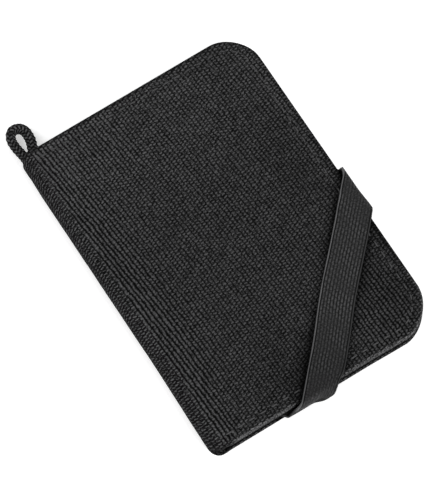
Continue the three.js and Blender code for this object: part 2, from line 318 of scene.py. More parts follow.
def read_grid(xs, ys, values, x, y):
    """Values of a regular grid at x, y, blended between its lines."""
    fx = np.clip((x - xs[0]) / (xs[1] - xs[0]), 0, len(xs) - 1.001)
    fy = np.clip((y - ys[0]) / (ys[1] - ys[0]), 0, len(ys) - 1.001)
    i, j = fx.astype(int), fy.astype(int)
    s, t = fx - i, fy - j
    low = values[j, i] * (1 - s) + values[j, i + 1] * s
    high = values[j + 1, i] * (1 - s) + values[j + 1, i + 1] * s
    return low * (1 - t) + high * t


def wave(x, y, pitch, seed):
    """A fixed mild unevenness between -1 and 1, with features of about that pitch."""
    rng = np.random.default_rng(seed)
    total = np.zeros_like(x)
    for _ in range(6):
        angle, phase = rng.uniform(0, 2 * math.pi, 2)
        k = 2 * math.pi / pitch * rng.uniform(0.6, 1.4)
        total = total + np.sin(k * (x * math.cos(angle) + y * math.sin(angle)) + phase)
    return total / 6


def stitch_dimple(run, sheet, depth):
    """How far the topstitching pulls the face down, by distance from it."""
    away = run + (STITCH_INSET - sheet.upper)
    return -depth * np.exp(-((away / (0.9 * MM)) ** 2))


# ---------------------------------------------------------------- strap
strap_axis = next(joint["axis"][:2] for joint in frame["joints"] if joint["name"] == "strap_pull_off")
STRAP_ACROSS = np.array(strap_axis) / np.linalg.norm(strap_axis)
STRAP_ALONG = np.array([-STRAP_ACROSS[1], STRAP_ACROSS[0]])
STRAP_WIDTH = 13.6 * MM
STRAP_THICK = 0.9 * MM
STRAP_TOP_Z = span("elastic_strap", Z)[1]
STRAP_OUT_X = span("elastic_strap", X)[1]
STRAP_OUT_Y = span("elastic_strap", Y)[0]
STRAP_END_Z = 1.45 * MM
STRAP_TUCK = 1.2 * MM
STRAP_TURN = 2.0 * MM
STRAP_LOW_TURN = 0.9 * MM
FORE_CROSSING = np.array([FORE_X, -HALF_Y + 57.5 * MM])
STRAP_MID = FORE_CROSSING - STRAP_ALONG * 39.2 * MM + STRAP_ACROSS * 0.05 * MM


def strap_profile(run, lean, belly=0.0):
    """Place of a strap point that is run metres past where the strap starts to turn down: how far
    beyond that line it stands, how far below the top it is, and the whole run. It turns past upright by
    lean, comes back in towards the cover as it goes down, and turns into the seam. belly pushes its
    side out."""
    turn, low_turn = math.pi / 2 + lean, math.pi / 2 - lean
    drop_total = STRAP_TOP_Z - STRAP_THICK / 2 - STRAP_END_Z
    first_drop = STRAP_TURN * (1 - math.cos(turn))
    side = (drop_total - first_drop - STRAP_LOW_TURN * (1 - math.sin(lean))) / math.cos(lean)
    a = STRAP_TURN * turn
    b = a + side
    c = b + STRAP_LOW_TURN * low_turn
    first = np.clip(run, 0, a) / STRAP_TURN
    down = np.clip(run - a, 0, side)
    second = turn + np.clip(run - b, 0, c - b) / STRAP_LOW_TURN
    away = np.minimum(run, 0) + STRAP_TURN * np.sin(first) - down * math.sin(lean)
    away = away + STRAP_LOW_TURN * (np.sin(second) - math.sin(turn)) - np.clip(run - c, 0, None)
    drop = STRAP_TURN * (1 - np.cos(first)) + down * math.cos(lean)
    drop = drop + STRAP_LOW_TURN * (math.cos(turn) - np.cos(second))
    away = away + belly * smoothstep(run, 0, a) * (1 - smoothstep(run, a + 0.5 * side, c))
    return away, drop, c + STRAP_TUCK


def creep(run):
    """How far the strap's run along the opening edge gets ahead of a flat strip's: a little on the turn,
    then it falls behind as the strap goes straight down the side."""
    run = np.maximum(run, 0)
    steps = np.linspace(0, 16 * MM, 321)
    ahead = 0.3 * (1 - smoothstep(steps, 2.0 * MM, 3.2 * MM))
    behind = 0.8 * smoothstep(steps, 2.2 * MM, 3.6 * MM) * (1 - smoothstep(steps, 6.2 * MM, 7.6 * MM))
    total = np.cumsum(ahead - behind) * (steps[1] - steps[0])
    return np.interp(run, steps, total)


def strap_half(name, upper):
    """One half of the strap, from its middle to the end sewn in the back cover, and the half's middle
    line."""
    across = np.linspace(-STRAP_WIDTH / 2, STRAP_WIDTH / 2, 29)
    steps = 150
    axis, other = (X, Y) if upper else (Y, X)
    sign = 1 if upper else -1
    edge = (STRAP_OUT_X if upper else -STRAP_OUT_Y) - STRAP_THICK / 2 - STRAP_TURN
    lean = math.radians(16 if upper else 12)
    total = strap_profile(np.zeros(1), lean)[2]
    bow_most, bow_at = (0.45 * MM, 28 * MM) if upper else (0.75 * MM, 26 * MM)
    start = sign * STRAP_MID[axis] + sign * (across + bow_most) * STRAP_ACROSS[axis]
    s = np.linspace(0, (edge + total - start) / STRAP_ALONG[axis], steps, axis=1)
    w = np.repeat(across[:, None], steps, 1)
    bow = bow_most * smoothstep(s, 0, bow_at)
    flat = STRAP_MID + sign * s[..., None] * STRAP_ALONG + (w + bow)[..., None] * STRAP_ACROSS
    run = sign * flat[..., axis] - edge
    right = smoothstep(w, 0, STRAP_WIDTH / 2)
    place = flat.copy()
    if upper:
        belly = 0.6 * MM * right
        place[..., other] += creep(run) * STRAP_ALONG[other] / STRAP_ALONG[axis]
    else:
        belly = 1.5 * MM * right - 0.3 * MM * np.exp(-((w / (3 * MM)) ** 2))
        belly = belly - 0.6 * MM * smoothstep(-w, 1 * MM, STRAP_WIDTH / 2)
        place[..., other] -= 3.6 * MM * right * smoothstep(run, -2 * MM, 3.6 * MM)
        place[..., other] -= 0.6 * (1 - right) * creep(run) * STRAP_ALONG[other] / STRAP_ALONG[axis]
    away, drop, _ = strap_profile(run, lean, belly)
    place[..., axis] = sign * (edge + away)
    uneven = 0.10 * MM * wave(s * sign, w, 17 * MM, 5)
    z = STRAP_TOP_Z - STRAP_THICK / 2 - drop + uneven * smoothstep(-run, 0, 8 * MM)
    z = z - 0.35 * MM * smoothstep(39 * MM - s, 0, 25 * MM)  # the face gives a little under the middle
    points = np.concatenate([place, z[..., None]], -1)
    # Painted shade: darker along the lower half and where the strap goes down the cover's side.
    tone = 0.97 - 0.22 * smoothstep(-sign * s, 0, 35 * MM) - 0.45 * smoothstep(run, 3.2 * MM, 5.5 * MM)
    cloth = np.stack([w, sign * s, tone], -1)
    stretched = 1 - 0.65 * smoothstep(run, -8 * MM if upper else -12 * MM, 0)
    faces = grid_faces(len(across), steps)
    if not upper:
        faces = faces[:, ::-1]
    obj = make_mesh(name, points, faces, cloth, rib=stretched)
    thicken(obj, STRAP_THICK, 0)
    return obj, points[len(across) // 2]


# ---------------------------------------------------------------- materials
class Number:
    """A number in a material's nodes, for sums written with +, -, *, / and **."""

    def __init__(self, nodes, socket):
        self.nodes, self.socket = nodes, socket

    def __add__(self, other):
        return self.nodes.math("ADD", self, other)

    def __sub__(self, other):
        return self.nodes.math("SUBTRACT", self, other)

    def __rsub__(self, other):
        return self.nodes.math("SUBTRACT", other, self)

    def __mul__(self, other):
        return self.nodes.math("MULTIPLY", self, other)

    def __truediv__(self, other):
        return self.nodes.math("DIVIDE", self, other)

    def __pow__(self, other):
        return self.nodes.math("POWER", self, other)


class Nodes:
    """Short ways to add shader nodes to one material. What they return is a Number or a socket."""

    def __init__(self, name):
        self.material = bpy.data.materials.new(name)
        self.material.use_nodes = True
        self.tree = self.material.node_tree
        self.shader = next(n for n in self.tree.nodes if n.type == "BSDF_PRINCIPLED")

    def add(self, kind):
        return self.tree.nodes.new("ShaderNode" + kind)

    def link(self, value, socket):
        if isinstance(value, Number):
            value = value.socket
        if isinstance(value, bpy.types.NodeSocket):
            self.tree.links.new(value, socket)
        else:
            socket.default_value = value

    def math(self, operation, *values):
        node = self.add("Math")
        node.operation = operation
        for value, socket in zip(values, node.inputs):
            self.link(value, socket)
        return Number(self, node.outputs[0])

    def cell(self, value):
        """Which cell a value of whole cells is in, and its place from -0.5 to 0.5 across it."""
        return self.math("FLOOR", value), self.math("FRACT", value) - 0.5

    def wave(self, turns):
        """The cosine, with a half wave to each turn."""
        return self.math("COSINE", turns * math.pi)

    def cloth(self, wobble, wobble_scale, fine=0.0):
        """The two places on the flat cloth, in metres, a little uneven as yarns are: wobble metres over
        lengths of 1 / wobble_scale, and fine metres within a yarn's width. Also the even place as a
        vector. The cloth's tone is kept in self.tone."""
        split = self.add("SeparateXYZ")
        self.link(self.attribute("cloth", "Vector"), split.inputs[0])
        flat = self.add("CombineXYZ")
        out = []
        for k in (0, 1):
            self.link(split.outputs[k], flat.inputs[k])
            out.append(Number(self, split.outputs[k]))
        self.tone = Number(self, split.outputs[2])
        layers = [(wobble_scale, 2, wobble)]
        if fine:
            layers.append((750, 1, fine))
        for scale, detail, amount in layers:
            shift = self.add("SeparateColor")
            self.link(self.noise(scale, detail, flat.outputs[0], "Color"), shift.inputs[0])
            for k in (0, 1):
                out[k] = out[k] + (Number(self, shift.outputs[k]) - 0.5) * amount
        return out, flat.outputs[0]

    def attribute(self, name, output="Fac"):
        node = self.add("Attribute")
        node.attribute_name = name
        return Number(self, node.outputs[output])

    def noise(self, scale, detail, vector, output="Fac"):
        node = self.add("TexNoise")
        node.inputs["Scale"].default_value = scale
        node.inputs["Detail"].default_value = detail
        self.link(vector, node.inputs["Vector"])
        return Number(self, node.outputs[output])

    def ramp(self, value, *stops):
        """A colour ramp. Each stop is a place and a colour."""
        node = self.add("ValToRGB")
        while len(node.color_ramp.elements) < len(stops):
            node.color_ramp.elements.new(0.5)
        for element, (at, colour) in zip(node.color_ramp.elements, stops):
            element.position = at
            element.color = (*colour, 1)
        self.link(value, node.inputs[0])
        return node.outputs[0]

    def scaled(self, colour, factor):
        node = self.add("VectorMath")
        node.operation = "SCALE"
        self.link(colour, node.inputs[0])
        self.link(factor, node.inputs["Scale"])
        return node.outputs[0]

    def bump(self, height, distance):
        node = self.add("Bump")
        node.inputs["Distance"].default_value = distance
        node.inputs["Strength"].default_value = 1
        self.link(height, node.inputs["Height"])
        self.link(node.outputs[0], self.shader.inputs["Normal"])

    def finish(self, colour, roughness, specular):
        self.link(colour, self.shader.inputs["Base Color"])
        self.link(roughness, self.shader.inputs["Roughness"])
        self.shader.inputs["Specular IOR Level"].default_value = specular
        return self.material


def grey(value):
    """A grey with a trace of blue, as black cloth has."""
    return (value, value, value * 1.02)


def woven(name, pitch_across, pitch_along, dark, middle, light, bump, fine=0.0):
    """A plain weave: upright yarns pitch_across apart, crossed by yarns pitch_along apart. Where the
    mesh's rib is high the upright yarns run on as ribs with deep lines between them."""
    bead_lean = -0.3
    n = Nodes(name)
    (x, y), place = n.cloth(1.2 * MM, 180, fine)
    rib = n.attribute("rib")
    u = x / pitch_across
    column, fu = n.cell(u)
    v = fu * bead_lean + y / pitch_along
    row, fv = n.cell(v)

    def round_yarn(f):
        """A yarn's round back, by the place f from -0.5 to 0.5 across it."""
        return n.math("MAXIMUM", 1.0 - f * f * 3.9, 0.0) ** 0.5

    def crest(along, other, sign):
        """1 where a yarn passes over the one it crosses, 0 where it passes under."""
        return n.wave(along - 0.5 + other) * (0.5 * sign) + 0.5

    # The upright yarns stay up along a rib. The crossing yarns lie lower, and lowest in beads.
    over = crest(v, column, 1) ** 0.8
    over = (1.0 - over) * (rib * 0.75) + over
    shown = n.math("MINIMUM", rib, 0.0) * 0.2 + 0.56
    height = n.math("MAXIMUM", round_yarn(fu) * over, round_yarn(fv) * (crest(u, row, -1) * shown))
    # The line between two upright yarns is wide and deep by a rib and narrow elsewhere.
    sharp = n.math("MAXIMUM", rib, 0.0) * -1.7 + 3.0
    edge = n.math("ABSOLUTE", fu * 2.0) ** sharp * (rib * 0.72 + 0.03)
    height = height * (1.0 - edge)
    # Where the tone paints the cloth light it is also drawn stretched smooth over an edge.
    taut = n.math("MINIMUM", n.math("MAXIMUM", (n.tone - 1.2) * 1.6, 0.0), 0.7)
    height = (0.66 - height) * taut + height
    # Each bead, its fibres and whole patches differ a little in tone.
    bead = n.add("CombineXYZ")
    n.link(column, bead.inputs[0])
    n.link(row, bead.inputs[1])
    speck = n.add("TexWhiteNoise")
    speck.noise_dimensions = "2D"
    n.link(bead.outputs[0], speck.inputs["Vector"])
    tone = height * (n.noise(1600, 3, place) * 2.8 - 0.4)
    tone = tone * (Number(n, speck.outputs["Value"]) * 0.36 + 0.82)
    tone = tone * (n.noise(90, 3, place) * 0.16 + 0.92)
    # The ramp makes high yarns light and low ones dark: painted highlights on the yarns' crests and
    # painted shade in the gaps between them.
    colour = n.ramp(
        tone, (0.0, grey(dark)), (0.28, grey(dark * 2)), (0.56, grey(middle)), (1.0, grey(light))
    )
    n.bump(height, bump)
    # The mesh's tone, painted light and shade, scales the colour.
    return n.finish(n.scaled(colour, n.tone), roughness=0.8, specular=0.03)


def ribbed(name, dark, middle, light):
    """Elastic webbing: ribs along its length, broken by staggered crossings, smoother in places, with a
    thin firm selvedge at each side."""
    rib_pitch, crossing_pitch, selvedge_width = 1.23 * MM, 2.4 * MM, 0.45 * MM
    n = Nodes(name)
    (w, s), place = n.cloth(0.55 * MM, 120)
    column, f = n.cell(w / rib_pitch)
    crossing = n.math("ABSOLUTE", n.wave(s / crossing_pitch + column * 0.37)) ** 0.4
    height = n.wave(f) ** 0.7 * (crossing * 0.55 + 0.45)
    worn = n.add("MapRange")
    n.link(n.noise(110, 2, place), worn.inputs["Value"])
    for socket, value in (("From Min", 0.42), ("From Max", 0.58), ("To Min", 0.45), ("To Max", 1)):
        worn.inputs[socket].default_value = value
    height = (height - 0.6) * (n.attribute("rib") * worn.outputs[0]) + 0.6
    side = n.math("ABSOLUTE", w) - (STRAP_WIDTH / 2 - selvedge_width)
    selvedge = n.math("GREATER_THAN", side, 0.0)
    groove = n.math("COMPARE", side, -0.25 * MM, 0.25 * MM)
    height = n.math("MAXIMUM", height * (groove * -0.5 + 1.0), selvedge * 1.25)
    # The ribs' height sets their colour too: painted shade in the grooves, lighter crests.
    tone = height * (n.noise(1700, 2, place) * 1.5 + 0.25)
    colour = n.ramp(
        tone, (0.0, grey(dark)), (0.3, grey(dark * 1.6)), (0.62, grey(middle)), (1.0, grey(light))
    )
    n.bump(height, 0.2 * MM)
    # Painted light on the selvedges: a painted highlight along one side and painted shade along the other,
    # on top of the mesh's painted shade.
    selvedge_light = selvedge * (w * (-1.6 / STRAP_WIDTH) + 0.2)
    colour = n.scaled(colour, n.tone * (selvedge_light + 1.0))
    return n.finish(colour, roughness=0.7, specular=0.1)


def plain(name, colour, roughness, scale, depth):
    """A plain finish with a fine fleck, scale per metre and depth metres deep."""
    n = Nodes(name)
    fleck = n.noise(scale, 3, n.add("TexCoord").outputs["Object"])
    low, high = [tuple(c * k for c in colour) for k in (0.75, 1.25)]
    n.bump(fleck, depth)
    return n.finish(n.ramp(fleck, (0.3, low), (0.7, high)), roughness, specular=0.3)


def braid(name, dark, light):
    """Braided cord: the strands' height, which the mesh holds as its tone, lightens them, so the hollows
    between strands get painted shade.
    """
    n = Nodes(name)
    _, place = n.cloth(0, 300)
    fibre = n.noise(2200, 2, place)
    tone = n.tone**3.2 * (fibre * 1.2 + 0.45) * (n.noise(520, 2, place) * 2.6 - 0.4)
    colour = n.ramp(tone, (0.0, grey(dark)), (0.4, grey(light * 0.18)), (1.0, grey(light)))
    n.bump(fibre, 0.06 * MM)
    return n.finish(colour, roughness=0.75, specular=0.08)


def twisted(name, dark, light):
    """Sewing thread: slanting plies, by the place s along it and t round it."""
    n = Nodes(name)
    (s, t), _ = n.cloth(0.02 * MM, 300)
    ply = n.math("ABSOLUTE", n.wave(s / (0.5 * MM) + t / (0.6 * MM)))
    n.bump(ply, 0.05 * MM)
    # Painted shade in the grooves between the plies, lighter on their crests.
    colour = n.ramp(ply, (0.0, grey(dark)), (1.0, grey(light)))
    return n.finish(colour, roughness=0.6, specular=0.15)


def wear(obj, material):
    """Dresses a piece in one material."""
    obj.data.materials.clear()
    obj.data.materials.append(material)
    return obj


def cut_sheet(obj, width, length, corners):
    """Works out the size and area of a sheet of cloth, cut as a rectangle of width by length with rounded
    corners; nothing is done with them.
    """
    width, length = round(float(width), 4), round(float(length), 4)
    area = width * length - (1 - math.pi / 4) * sum(r * r for r in corners)
    return obj


def cut_cover(obj, flat, run):
    """Works out the cut size of a cover's outer cloth, whose cut reaches round the rolled edge."""
    width, length = np.ptp(flat[..., :2].reshape(-1, 2), axis=0)
    corners = [r + run.max() for r in (TOP_CORNER, BOTTOM_CORNER)]
    return cut_sheet(obj, width, length, corners)


# ---------------------------------------------------------------- pieces
def grain(v):
    """How far the cloth's upright yarns have leaned off the spine's direction by height v."""
    return YARN_LEAN * v + YARN_CURVE * v * v


def yarn_ribs(yarn, u, end, fade):
    """1 on an upright yarn and -1 between two, fading out from the spine to u = end."""
    return -np.cos(2 * math.pi * yarn / YARN_ACROSS) * smoothstep(end - u, 0, fade)


def shell_front(material):
    """The front cover's outer cloth, which runs on into the fold as far as the middle of the spine."""
    sheet = CoverSheet(True, TOP_Z - FRONT_RIM_Z, 1.5 * MM, 1.2 * MM)
    q, p = sheet.grid(0.4 * MM, 0.9 * MM)
    _, flat, run = sheet.place(p, q)
    u, v = flat[..., 0], flat[..., 1]
    xs, ys, rise = simulate_face()
    face = smoothstep(-run, 0, 6 * MM)
    lift = read_grid(xs, ys, rise, u, v) * face * smoothstep(u, FOLD_X, FOLD_X + 6 * MM)
    lift = lift + 0.16 * MM * wave(u, v, 34 * MM, 3) * face
    yarn = u + grain(v)
    drawn = rib_zone(u, v, run)
    ribs = yarn_ribs(yarn, u, FRONT_RIBS_END, 10 * MM) * np.clip(drawn, 0, 1)
    lift = lift + 0.06 * MM * ribs * smoothstep(-run, -1 * MM, 3 * MM)
    lift = lift + stitch_dimple(run, sheet, 0.32 * MM)
    lift = lift - 0.25 * MM * np.exp(-((strap_distance(u, v) / (6 * MM)) ** 2)) * face
    points, _, _ = sheet.place(p, q, lift)
    tone = painted_light_tone(u, v, run) * (1 + 0.05 * np.clip(drawn, 0, 1))
    cloth = np.stack([yarn, v, tone], -1)
    obj = make_mesh("front_shell_fabric", points, grid_faces(*p.shape), cloth, rib=drawn)
    thicken(obj, FABRIC)
    wear(obj, material)
    cut_cover(obj, flat, run)
    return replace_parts(obj, "front_outer_panel", "spine_outer_panel")


def painted_light_tone(u, v, run):
    """How light the front cloth is, patch by patch: painted light and shade."""
    # Painted light: lighter along the spine and over the upper half.
    tone = 0.945 + 0.10 * smoothstep(-u, 20 * MM, 50 * MM)
    tone = tone + 0.16 * smoothstep(-u, 43 * MM, 45.5 * MM)
    tone = tone + 0.26 * smoothstep(v, 5 * MM, 60 * MM) * smoothstep(u, -50 * MM, -38 * MM)
    # Darker in the lower corner, at the foot and beside the opening edge.
    tone = tone - 0.24 * smoothstep(u, 15 * MM, 40 * MM) * smoothstep(-v, 0, 30 * MM)
    tone = tone - 0.30 * np.exp(-((u + 6 * MM) ** 2 + (v + 63 * MM) ** 2) / (20 * MM) ** 2)
    fore = 0.12 * smoothstep(u, 22 * MM, 34 * MM) - 0.14 * smoothstep(u, 40 * MM, 48 * MM)
    tone = tone - fore * smoothstep(v, -10 * MM, 0)
    # Painted shade: darkest close to the strap.
    away = strap_distance(u, v)
    tone = tone - 0.32 * (1 - smoothstep(away, 6.5 * MM, 12 * MM))
    tone = tone - 0.22 * (1 - smoothstep(away, 7.0 * MM, 8.4 * MM))
    # Painted light on the rolled edge: a painted highlight along the foot and painted shade elsewhere.
    rolled = smoothstep(run, -0.6 * MM, 1.0 * MM)
    bottom = smoothstep(-v, 30 * MM, 55 * MM) * smoothstep(u, FOLD_X, FOLD_X + 8 * MM)
    roll_highlight = smoothstep(run, 0.3 * MM, 1.0 * MM) * (1 - 1.6 * smoothstep(run, 2.3 * MM, 2.9 * MM))
    return tone + 0.75 * roll_highlight * bottom - 0.4 * rolled * (1 - bottom)


def rib_zone(u, v, run):
    """Where the front cloth's yarns are drawn into ribs: beside the spine and in the bottom corner."""
    rolled = smoothstep(run, -0.5 * MM, 0.5 * MM)
    foot = smoothstep(-v, 38 * MM, 54 * MM)
    beside = smoothstep(-u, (20 + 13 * foot) * MM, 42 * MM)
    beside = np.maximum(beside, 0.7 * smoothstep(v, 36 * MM, 56 * MM) * smoothstep(-u, 6 * MM, 14 * MM))
    beside = beside * smoothstep(u + foot * MM, -46.0 * MM, -44.6 * MM)
    corner = smoothstep(u, 16 * MM, 26 * MM) * smoothstep(-u, -46 * MM, -40 * MM)
    corner = corner * smoothstep(-v, 28 * MM, 45 * MM)
    zone = np.maximum(beside, 0.7 * corner) - 0.8 * smoothstep(-u, 44.6 * MM, 45.8 * MM)
    return zone * (1 - rolled) - 0.5 * rolled


def tail_shift(axis):
    """How far the strap's tail goes in beside the middle of its CAD bar tack, which lies along axis."""
    return creep(9 * MM) * STRAP_ALONG[Y] / STRAP_ALONG[X] if axis == Y else 0.7 * MM


def strap_slits(points):
    """Which points of the back cover's edge lie in the two slits where the strap's ends go in."""
    x, y, z = points.T
    slits = np.zeros(len(points), bool)
    for node, axis, beyond in (
        ("strap_fore_bar_tack", Y, x > FORE_X - 0.8 * MM),
        ("strap_bottom_bar_tack", X, y < -HALF_Y + 0.8 * MM),
    ):
        middle = sum(span(node, axis)) / 2 + tail_shift(axis)
        half = STRAP_WIDTH / 2 / STRAP_ALONG[1 - axis] + 0.2 * MM
        slits |= beyond & (np.abs(points[:, axis] - middle) < half)
    return slits & (z > 0.9 * MM) & (z < 2.0 * MM)


def shell_back(material):
    """The back cover's outer cloth, which meets the front one's in the middle of the spine."""
    sheet = CoverSheet(False, BACK_RIM_Z, 0.9 * MM, 0.7 * MM)
    q, p = sheet.grid(0.45 * MM, 1.2 * MM)
    _, flat, run = sheet.place(p, q)
    u, v = flat[..., 0], flat[..., 1]
    yarn = 2 * FOLD_END - u + grain(v)  # on from the front's yarns in the middle of the spine
    fade = 8 * MM
    ribs = yarn_ribs(yarn, u, BACK_RIBS_END, fade)
    lift = -0.04 * MM * (1 - ribs) * smoothstep(BACK_RIBS_END - u, 0, fade)
    lift = lift + stitch_dimple(run, sheet, 0.2 * MM)
    points = sheet.place(p, q, lift)[0].reshape(-1, 3)
    faces = grid_faces(*p.shape)
    faces = faces[~strap_slits(points)[faces].any(1)][:, ::-1]
    # The edge is painted dark where it rolls over, as painted shade, with a painted highlight line where
    # the hem turns in.
    tone = 1 - 0.8 * smoothstep(run, 0.1 * MM, 0.9 * MM)
    tone = tone + 1.1 * np.exp(-(((run - 2.3 * MM) / (0.3 * MM)) ** 2))
    cloth = np.stack([yarn, v, tone], -1)
    obj = make_mesh("back_shell_fabric", points, faces, cloth)
    thicken(obj, FABRIC)
    wear(obj, material)
    cut_cover(obj, flat, run)
    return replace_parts(obj, "back_outer_panel")


def lining(front, material):
    """A cover's lining, which runs on into the fold as far as the middle of the spine."""
    name = "front_lining" if front else "back_lining"
    low, high = span(name, Z)
    level = TOP_Z - low if front else high
    middle, edge, half = FOLD_X - LINING_R * math.pi / 2, FORE_X - LINING_INSET, HALF_Y - LINING_INSET
    p = lines((middle, FOLD_X, 0.4 * MM), (FOLD_X, edge, 1.5 * MM))
    q, p = np.meshgrid(lines((-half, half, 1.5 * MM)), p, indexing="ij")
    x, y = round_outline(p, q, LINING_INSET)
    bend = np.clip((FOLD_X - p) / LINING_R, 0, math.pi / 2)
    ease = smoothstep(p, FOLD_X, FOLD_X + 6 * MM)
    flat_z = (FOLD_R - LINING_R) * (1 - ease) + level * ease
    z = np.where(p < FOLD_X, FOLD_Z - LINING_R * np.cos(bend), flat_z)
    x = np.where(p < FOLD_X, FOLD_X - LINING_R * np.sin(bend), x)
    z = z + 0.05 * MM * wave(x, y, 25 * MM, 9) * ease
    if front:
        z = TOP_Z - z
    faces = grid_faces(*p.shape)
    faces = faces[:, ::-1] if front else faces
    obj = make_mesh(name + "_cloth", np.stack([x, y, z], -1), faces, np.stack([p, y], -1))
    thicken(obj, 0.2 * MM)
    wear(obj, material)
    corners = [r - LINING_INSET for r in (TOP_CORNER, BOTTOM_CORNER)]
    cut_sheet(obj, np.ptp(p), np.ptp(q), corners)
    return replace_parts(obj, name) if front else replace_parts(obj, name, "spine_lining")


def pocket(node, hem, corners, body, material, seed):
    """The cloth of a pocket in the place of its CAD node, with the corners that meet the cover's rounded
    and a mild unevenness, and the hem of its open edge: start, end, width and height."""
    low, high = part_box(node)
    x, y = (lines((low[k], high[k], 1.2 * MM)) for k in (X, Y))
    y, x = np.meshgrid(y, x, indexing="ij")
    faces = grid_faces(*x.shape)
    x, y = round_outline(x, y, POCKET_INSET)
    z = (low[Z] + high[Z]) / 2 + 0.04 * MM * wave(x, y, 22 * MM, seed)
    obj = make_mesh(node + "_cloth", np.stack([x, y, z], -1), faces, np.stack([x, y], -1))
    thicken(obj, high[Z] - low[Z], 0)
    wear(obj, material)
    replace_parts(obj, node)
    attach(obj, body)
    edge = turned_edge(node + "_hem", *hem, material)
    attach(edge, body)
    cut_sheet(obj, high[X] - low[X], high[Y] - low[Y], corners)


def turned_edge(name, start, end, width, height, material):
    """The folded-over edge of a pocket: a low rounded strip from start to end."""
    start, end = np.array(start), np.array(end)
    length = np.linalg.norm((end - start)[:2])
    along = (end - start) / np.linalg.norm(end - start)
    side = np.array([-along[1], along[0], 0])
    s, t = np.meshgrid(lines((0, length, 1.5 * MM)), np.linspace(0, math.pi, 9), indexing="ij")
    points = start + s[..., None] * along + (np.cos(t) * width / 2)[..., None] * side
    points[..., 2] += np.sign(height) * np.sin(t) ** 0.6 * abs(height)
    obj = make_mesh(name, points, grid_faces(*s.shape), np.stack([s, t * MM], -1))
    thicken(obj, 0.12 * MM, 0)
    return wear(obj, material)


def stitch_path(z):
    """Points round the three open sides of a cover, from the foot of the spine side to its head."""
    top, bottom = TOP_CORNER - STITCH_INSET, BOTTOM_CORNER - STITCH_INSET
    right, high = FORE_X - STITCH_INSET, HALF_Y - STITCH_INSET
    turn = np.linspace(0, math.pi / 2, 40)
    path = [(STITCH_START_X, -high)]
    path += [(right - bottom + bottom * math.sin(t), -high + bottom - bottom * math.cos(t)) for t in turn]
    path += [(right - top + top * math.cos(t), high - top + top * math.sin(t)) for t in turn]
    path += [(STITCH_START_X, high)]
    return np.array([(x, y, z) for x, y in path])


def resample(path, places):
    """The points of a path at places, in metres along it, and the path's length."""
    steps = np.linalg.norm(np.diff(path, axis=0), axis=1)
    run = np.concatenate([[0], np.cumsum(steps)])
    return np.stack([np.interp(places, run, path[:, k]) for k in range(3)], -1), run[-1]


def stitches(name, node, path, pitch, stitch, thread, outward, body, material):
    """A row of single stitches along path, each a short rounded thread that dips in at both ends. They
    stand out along +Z or, with outward -1, along -Z."""
    total = resample(path, [0])[1]
    count = int(total / pitch)
    rng = np.random.default_rng(len(name))
    rings, sides = 9, 8
    points, faces, cloth = [], [], []
    for k in range(count):
        middle = (k + 0.5) * total / count + rng.uniform(-0.12, 0.12) * MM
        length = stitch * rng.uniform(0.92, 1.06)
        s = np.linspace(-length / 2, length / 2, rings)
        line = resample(path, middle + s)[0]
        tangent = line[-1] - line[0]
        tangent = tangent / np.linalg.norm(tangent)
        up = np.array([0, 0, outward], float)
        side = np.cross(tangent, up)
        share = 2 * s / length
        radius = thread / 2 * np.sqrt(np.maximum(1 - share**4, 0.02))
        sink = -0.4 * MM * np.abs(share) ** 3
        slant = 0.04 * MM * share * (1 if k % 2 else 0.6)
        base = len(points)
        for i in range(rings):
            for t in np.arange(sides) * 2 * math.pi / sides:
                beside = math.cos(t) * radius[i] + slant[i]
                above = math.sin(t) * radius[i] * 0.8 + sink[i]
                points.append(line[i] + side * beside + up * above)
                cloth.append((middle + s[i], t * thread / 2))
        faces += tube_faces(rings, sides, base)
    sewn(name, node, points, faces, cloth, material, body)


def sewn(name, node, points, faces, cloth, material, body):
    """A piece of thread in the place of its CAD node."""
    obj = make_mesh(name, points, faces, cloth)
    wear(obj, material)
    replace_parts(obj, node)
    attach(obj, body)


def bar_tack(name, node, axis, material, shift=0.0):
    """A dense zigzag of thread over the place of a CAD bar, moved by shift along it."""
    low, high = (np.array(v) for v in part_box(node))
    low[axis] += shift
    high[axis] += shift
    other = 1 - axis
    count = int((high[axis] - low[axis]) / (0.42 * MM))
    zig = np.linspace(low[axis] + 0.2 * MM, high[axis] - 0.2 * MM, count)
    points, faces, cloth = [], [], []
    sides, rings = 6, 7
    for k, at in enumerate(zig):
        base = len(points)
        for s in np.linspace(-1, 1, rings):
            for t in np.arange(sides) * 2 * math.pi / sides:
                p = np.zeros(3)
                p[axis] = at + 0.19 * MM * math.cos(t) + 0.12 * MM * s * (-1) ** k
                p[other] = (low[other] + high[other]) / 2 + s * (high[other] - low[other]) / 2
                top = (high[Z] - low[Z]) * (1 - 0.6 * abs(s) ** 3)
                p[Z] = low[Z] + top * (0.5 + 0.5 * math.sin(t))
                points.append(p)
                cloth.append((s * MM, t * MM / 4))
        faces += tube_faces(rings, sides, base)
    sewn(name, node, points, faces, cloth, material, BACK)


# The loop's centre line, from one tail round to the other, in millimetres.
LOOP_PATH = [
    (-47.3, 66.8), (-47.4, 70.5), (-47.8, 75.0), (-47.6, 78.6), (-46.2, 81.0), (-44.3, 81.6),
    (-42.2, 80.6), (-41.1, 78.2), (-41.2, 75.0), (-42.3, 71.8), (-43.2, 69.3), (-43.4, 66.8),
]
CORD = 3.7 * MM
CORD_LAY, CORD_STRANDS = 6.2 * MM, 4  # one strand's turn takes this far, and the strands that go each way


def spline(points, count):
    """A smooth line through points, evenly spaced, and its length."""
    points = np.array(points, float)
    ends = np.vstack([2 * points[0] - points[1], points, 2 * points[-1] - points[-2]])
    dense = []
    for a, b, c, d in zip(ends, ends[1:], ends[2:], ends[3:]):
        for t in np.linspace(0, 1, 40, endpoint=False):
            square, cube = 2 * a - 5 * b + 4 * c - d, 3 * b - a - 3 * c + d
            dense.append(0.5 * (2 * b + (c - a) * t + square * t**2 + cube * t**3))
    dense = np.array(dense + [points[-1]])
    length = resample(dense, [0])[1]
    return resample(dense, np.linspace(0, length, count))[0], length


